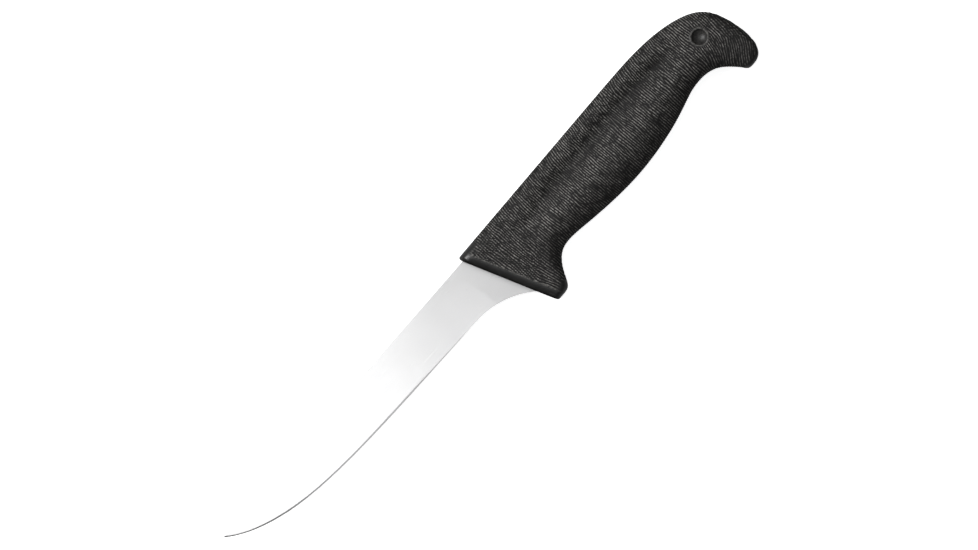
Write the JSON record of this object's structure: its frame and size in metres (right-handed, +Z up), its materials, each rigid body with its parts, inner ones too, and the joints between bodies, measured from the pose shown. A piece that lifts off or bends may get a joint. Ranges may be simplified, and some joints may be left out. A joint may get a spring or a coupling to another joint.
{
  "type": "boning knife",
  "caption": "Boning knife with a narrow, gently curved steel blade and a ribbed black moulded handle with a finger guard and a hooked butt.",
  "frame": {"origin": "on the surface that the knife lies on, under the middle of its bounding box", "axes": "+X from the point of the blade to the butt, +Y towards the spine, +Z up through the thickness of the knife, which lies on its side"},
  "size_m": [0.3006, 0.0432, 0.02],
  "materials": {
    "blade_steel": "fine satin, ground along the blade, with a brighter sharpened bevel",
    "handle_polymer": "black, moulded with fine wavy ribs across the grip, smooth at the front rim and round the dimples"
  },
  "bodies": {
    "root": {"blade": "blade_steel", "handle": "handle_polymer"}
  },
  "joints": []
}
